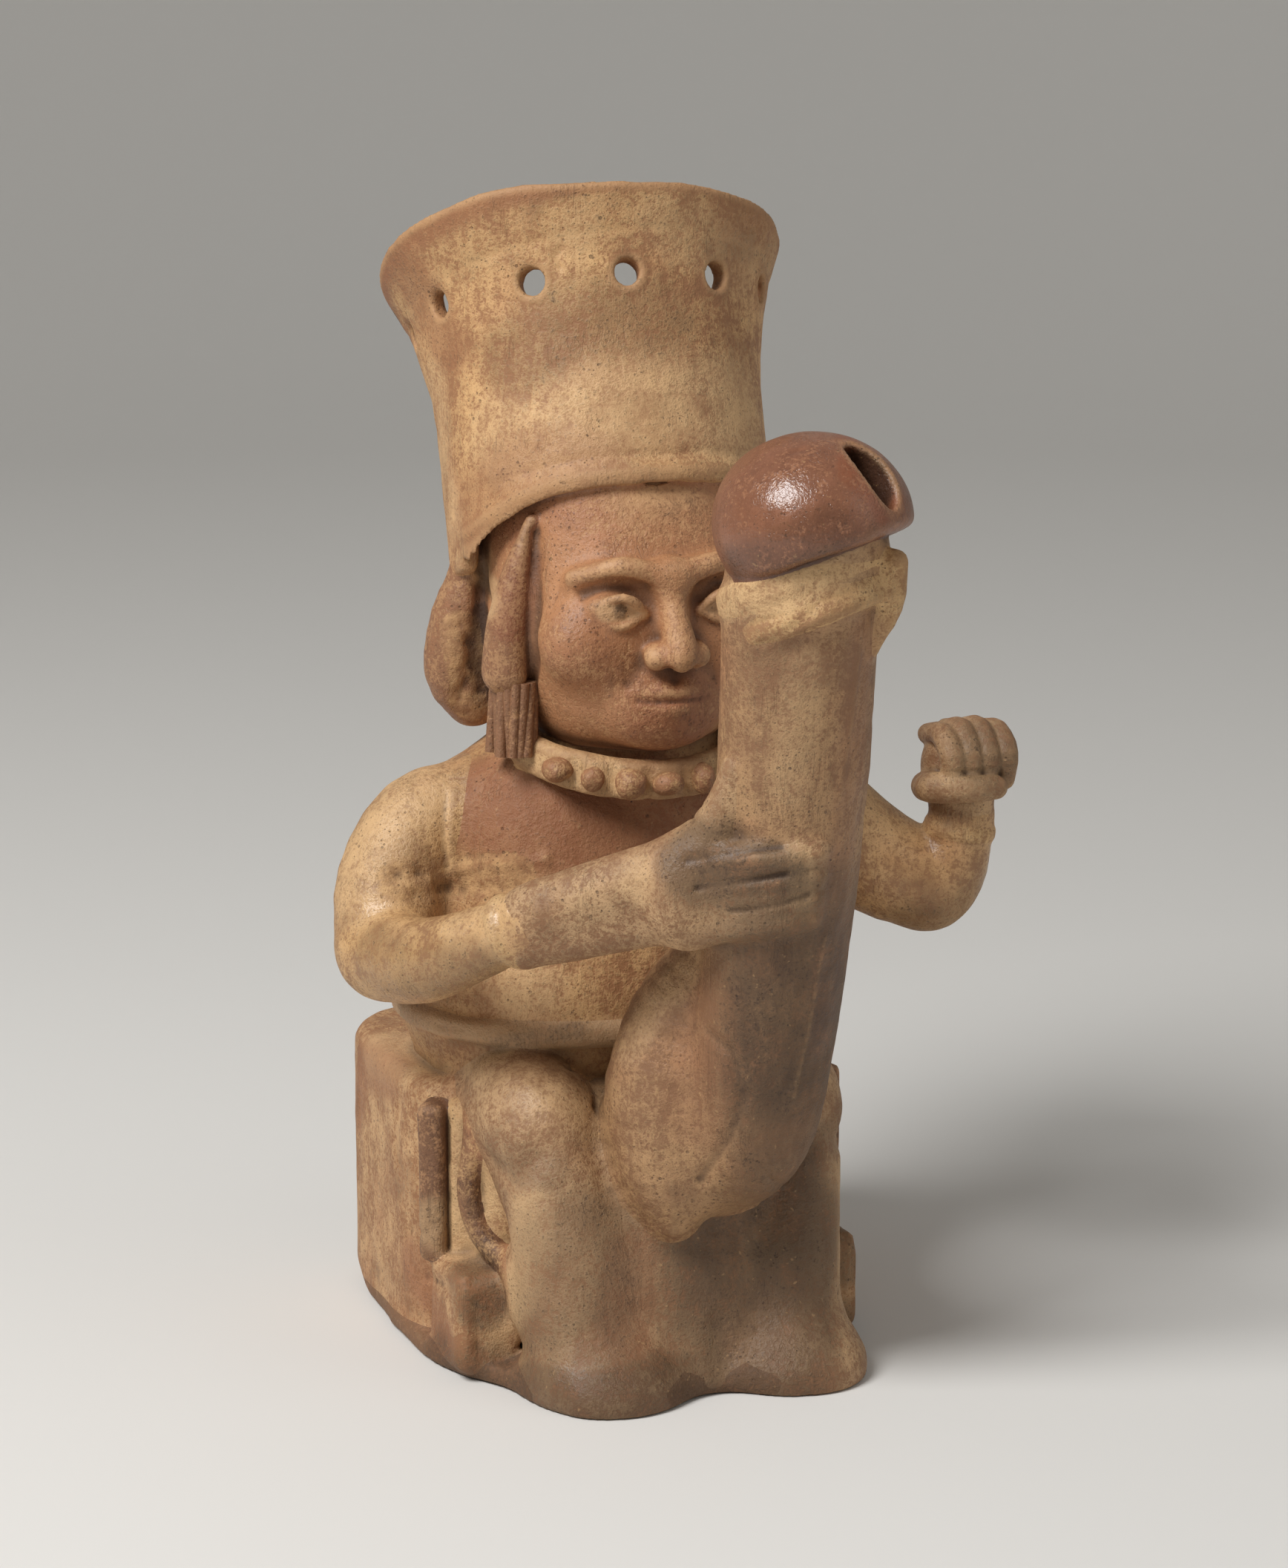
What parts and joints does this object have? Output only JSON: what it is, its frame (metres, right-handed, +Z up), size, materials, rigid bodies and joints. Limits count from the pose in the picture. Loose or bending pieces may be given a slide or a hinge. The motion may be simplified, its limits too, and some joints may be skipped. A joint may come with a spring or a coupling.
{
  "type": "effigy vessel",
  "caption": "Fired clay effigy vessel: a seated figure whose pierced cup hat is the filling mouth, holding an upright hollow spout.",
  "frame": {"origin": "middle of the flat underside of the base", "axes": "+Z up; the figure faces -Y, and its right hand is on -X"},
  "size_m": [0.165, 0.1764, 0.2742],
  "materials": {
    "clay_ground": "unslipped fired clay, matt, worn at the edges",
    "seat_clay": "buff slip over tan clay, worn and speckled",
    "smoked_clay": "burnished clay clouded grey-brown by the firing",
    "tunic_slip": "cream slip worn through to pink-tan clay",
    "dark_slip": "dark brown slip, matt",
    "face_slip": "red-brown slip thinly washed, matt",
    "hat_slip": "cream slip patchily worn to tan clay",
    "hair_slip": "red-brown slip, satin where burnished",
    "cream_slip": "cream slip, matt",
    "red_slip": "red-brown slip, satin",
    "arm_clay": "burnished buff slip, satin",
    "spout_clay": "burnished tan clay with grey firing clouds",
    "burnished_red": "red-brown slip burnished to a soft shine"
  },
  "bodies": {
    "root": {"base_plate": "clay_ground", "seat_shell": "seat_clay", "lap_wall": "smoked_clay", "torso_shell": "tunic_slip", "tunic_hem": "dark_slip", "head_shell": "face_slip", "hat_wall": "hat_slip", "hair_back": "hair_slip", "necklace_band": "cream_slip", "hand_right": "smoked_clay", "fist_left": "smoked_clay", "spout_shaft": "spout_clay", "spout_glans": "burnished_red", "spout_fold": "cream_slip", "scrotum": "spout_clay", "seat_step_right": "seat_clay", "seat_edge_right": "dark_slip", "cloth_panel_right": "cream_slip", "cloth_trim_right": "red_slip", "leg_right": "smoked_clay", "foot_right": "smoked_clay", "upper_arm_right": "arm_clay", "forearm_right": "arm_clay", "wrist_band_right": "cream_slip", "hair_lobe_right": "hair_slip", "hair_lock_right": "hair_slip", "hair_tassel_right": "dark_slip", "seat_step_left": "seat_clay", "seat_edge_left": "dark_slip", "cloth_panel_left": "cream_slip", "cloth_trim_left": "red_slip", "leg_left": "smoked_clay", "foot_left": "smoked_clay", "upper_arm_left": "arm_clay", "forearm_left": "arm_clay", "wrist_band_left": "cream_slip", "hair_lobe_left": "hair_slip", "hair_lock_left": "hair_slip", "hair_tassel_left": "dark_slip", "necklace_bead_1": "red_slip", "necklace_bead_2": "red_slip", "necklace_bead_3": "red_slip", "necklace_bead_4": "red_slip", "necklace_bead_5": "red_slip", "necklace_bead_6": "red_slip", "necklace_bead_7": "red_slip"}
  },
  "joints": []
}
